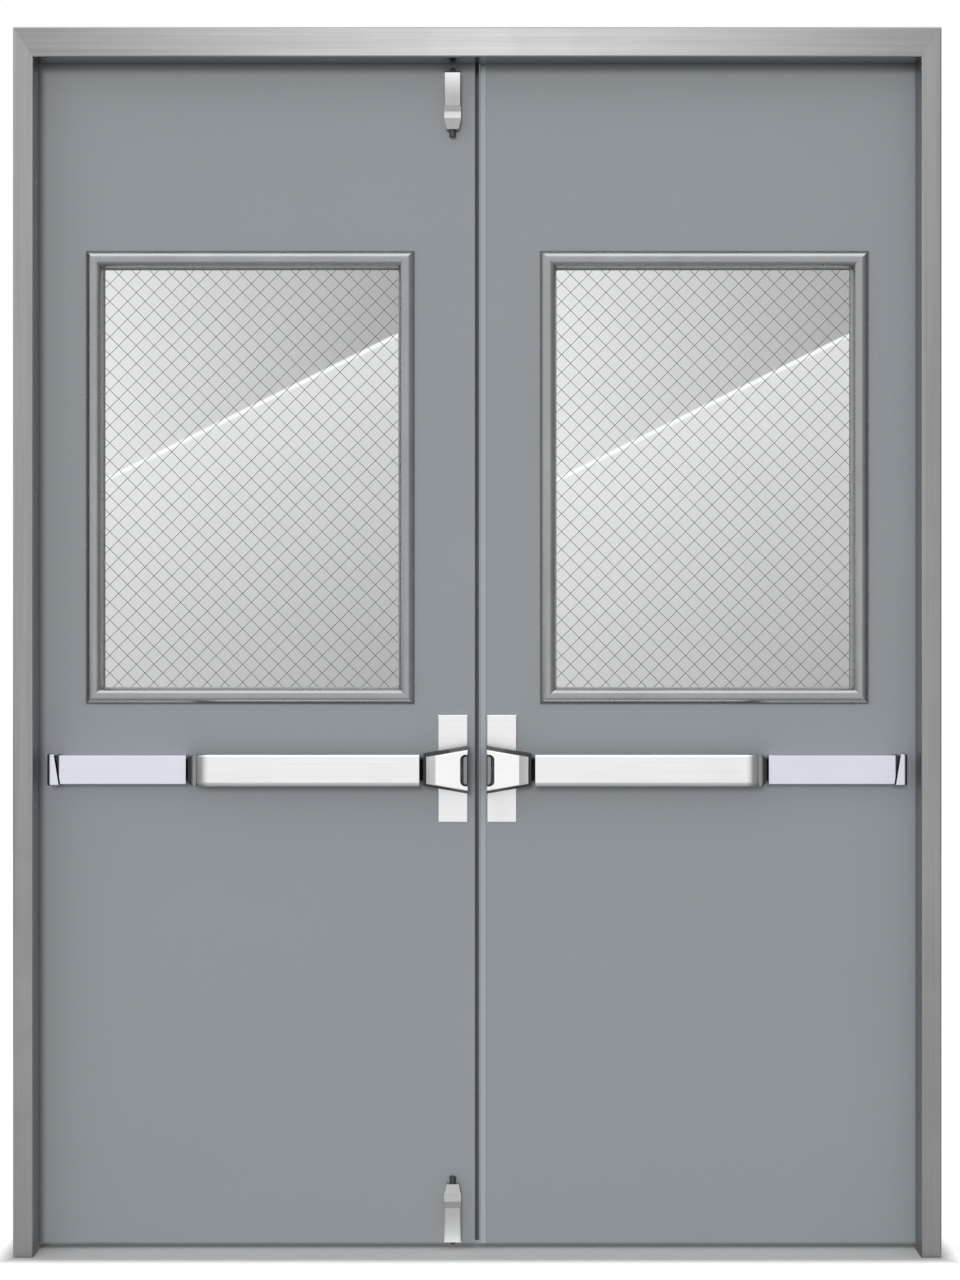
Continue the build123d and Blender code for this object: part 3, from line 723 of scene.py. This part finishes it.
# cards that the steel mirrors: dark below, at both sides and at the jambs' feet, bright above
flat, upright, sideways = (0, 0, 0), (math.pi / 2, 0, 0), (0, math.pi / 2, 0)
footFlag = {"size": (0.2, 0.2), "turn": flat, "glow": 0.16}
reflected = {
    "lowFlag": {"place": (doorCentre.x, -1.2, -0.6), "size": (8, 2.6), "turn": flat, "glow": 0.48},
    "rightFlag": {"place": (doorHigh.x + 1, -1.2, 1.4), "size": (4, 2.6), "turn": sideways, "glow": 0.42},
    "leftFlag": {"place": (doorLow.x - 1, -1.2, 0.62), "size": (0.6, 2.6), "turn": sideways, "glow": 0.3},
    "leftFootFlag": {"place": (doorLow.x + 0.1, 0.02, -0.003), **footFlag},
    "rightFootFlag": {"place": (doorHigh.x - 0.1, 0.02, -0.003), **footFlag},
    "topBox": {"place": (doorCentre.x, -1.3, 3.7), "size": (5, 2.4), "turn": flat, "glow": 2.1},
    "headBox": {
        "place": (doorCentre.x, -4.6, 3.6), "size": (3.4, 2), "turn": upright, "glow": 0, "peak": 1.95,
        "only": "head",
    },
}
halfCard = 0.5  # in a card's own coordinates
for name, card in reflected.items():
    material, tree, glow = emissionMaterial(name)
    setInput(glow, "Strength", card["glow"])
    if "peak" in card:  # brightest down the middle
        away = maths(tree, "ABSOLUTE", splitCoords(tree)["X"])
        fall = mapRange(tree, away, card["peak"], card["glow"], end=halfCard)
        tree.links.new(fall, glow.inputs["Strength"])
    plane = stagePlane(name, card["place"], card["size"], card["turn"])
    plane.data.materials.append(material)
    showOnlyTo(plane, "glossy")
    if "only" in card:  # lights one node
        lit = bpy.data.collections.new(f"{name}Lights")
        lit.objects.link(nodes[card["only"]])
        plane.light_linking.receiver_collection = lit
        letThrough(tree, glow)


# camera straight before the door
view = {"place": (0.7872, -4.255, 1.064), "lens": 68.6, "sensor": 36.0}
cameraData = bpy.data.cameras.new("camera")
cameraData.sensor_width = view["sensor"]
cameraData.lens = view["lens"]
camera = bpy.data.objects.new("camera", cameraData)
bpy.context.scene.collection.objects.link(camera)
camera.location = view["place"]
camera.rotation_euler = upright
bpy.context.scene.camera = camera


# backdrop that only the panes show: a slanted edge of light across each, paler under it
# across and up run from -0.5 to 0.5 over a pane
backdrop = {
    "distance": 1.2, "lineMiddle": 0.163, "lineSlope": 0.354, "lineHalf": 0.003, "lineSoft": 0.004,
    "line": 1.6, "aside": 0.03,
}
overLine = {"middle": 0.96, "across": -0.71}
underLine = {"middle": 1.25, "across": -0.105, "up": 0.69}


def makeBackdrop():
    material, tree, glow = emissionMaterial("backdrop")
    place = splitCoords(tree)
    across = place["X"]
    line = maths(tree, "MULTIPLY_ADD", across, backdrop["lineSlope"], backdrop["lineMiddle"])
    fromLine = maths(tree, "SUBTRACT", place["Y"], line)
    over = maths(tree, "MULTIPLY_ADD", across, overLine["across"], overLine["middle"])
    rise = maths(tree, "MULTIPLY_ADD", fromLine, underLine["up"], underLine["middle"])
    under = maths(tree, "MULTIPLY_ADD", across, underLine["across"], rise)
    tone = blend(tree, "FLOAT", maths(tree, "GREATER_THAN", fromLine, 0.0), under, over)
    away = maths(tree, "ABSOLUTE", fromLine)
    lineEdge = backdrop["lineHalf"] + backdrop["lineSoft"]
    onLine = mapRange(tree, away, 1.0, 0.0, start=backdrop["lineHalf"], end=lineEdge)
    tree.links.new(blend(tree, "FLOAT", onLine, tone, backdrop["line"]), glow.inputs["Strength"])
    # clear to anyone who doesn't stand straight in front
    facing = addNode(tree, "ShaderNodeLayerWeight")
    aside = maths(tree, "GREATER_THAN", facing.outputs["Facing"], backdrop["aside"])
    clear = addNode(tree, "ShaderNodeBsdfTransparent")
    shown = chooseShader(tree, aside, glow.outputs["Emission"], clear.outputs["BSDF"])
    tree.links.new(shown, tree.nodes["Material Output"].inputs["Surface"])
    eye = Vector(view["place"])
    for side in ("left", "right"):
        low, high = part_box(f"{side}_glass")
        centre = (low + high) / 2
        spread = (backdrop["distance"] - eye.y) / (centre.y - eye.y)
        card = stagePlane(
            f"{side}Backdrop", eye + (centre - eye) * spread,
            ((high.x - low.x) * spread, (high.z - low.z) * spread), upright,
        )
        card.data.materials.append(material)
        showOnlyTo(card, "transmission")


makeBackdrop()


# light: white surroundings for camera, metal and glass, a soft fill for the rest, and two lamps
surroundings = {"fill": 0.52, "white": 1.0}
suns = {
    "keySun": {"towards": (0.10, 1.0, -0.16), "strength": 1.3, "angle": 12},  # from near the camera
    "sideSun": {"towards": (0.8, 0.8, -0.5), "strength": 0.3, "angle": 40},
}


def makeWorld():
    world = bpy.data.worlds.new("studio")
    bpy.context.scene.world = world
    world.use_nodes = True
    tree = world.node_tree
    tree.nodes.clear()
    path = addNode(tree, "ShaderNodeLightPath")
    rays = ("Is Camera Ray", "Is Glossy Ray", "Is Transmission Ray")
    seen = largestOf(tree, [path.outputs[ray] for ray in rays])
    shades = []
    for strength in (surroundings["fill"], surroundings["white"]):
        shade = addNode(tree, "ShaderNodeBackground")
        setInput(shade, "Strength", strength)
        setInput(shade, "Color", (1, 1, 1, 1))
        shades.append(shade.outputs["Background"])
    output = addNode(tree, "ShaderNodeOutputWorld")
    tree.links.new(chooseShader(tree, seen, *shades), output.inputs["Surface"])
    world.cycles.sampling_method = "NONE"


def addSun(name, towards, strength, angle):
    lamp = bpy.data.lights.new(name, "SUN")
    lamp.energy = strength
    lamp.angle = math.radians(angle)
    sun = bpy.data.objects.new(name, lamp)
    bpy.context.scene.collection.objects.link(sun)
    sun.rotation_euler = Vector(towards).to_track_quat("-Z", "Y").to_euler()
    sun.visible_glossy = False  # the steel and the panes mirror the cards, not the lamps
    sun.visible_transmission = False


makeWorld()
for name, sun in suns.items():
    addSun(name, **sun)
bpy.context.scene.view_settings.view_transform = "Standard"
print("stage, camera and light set")
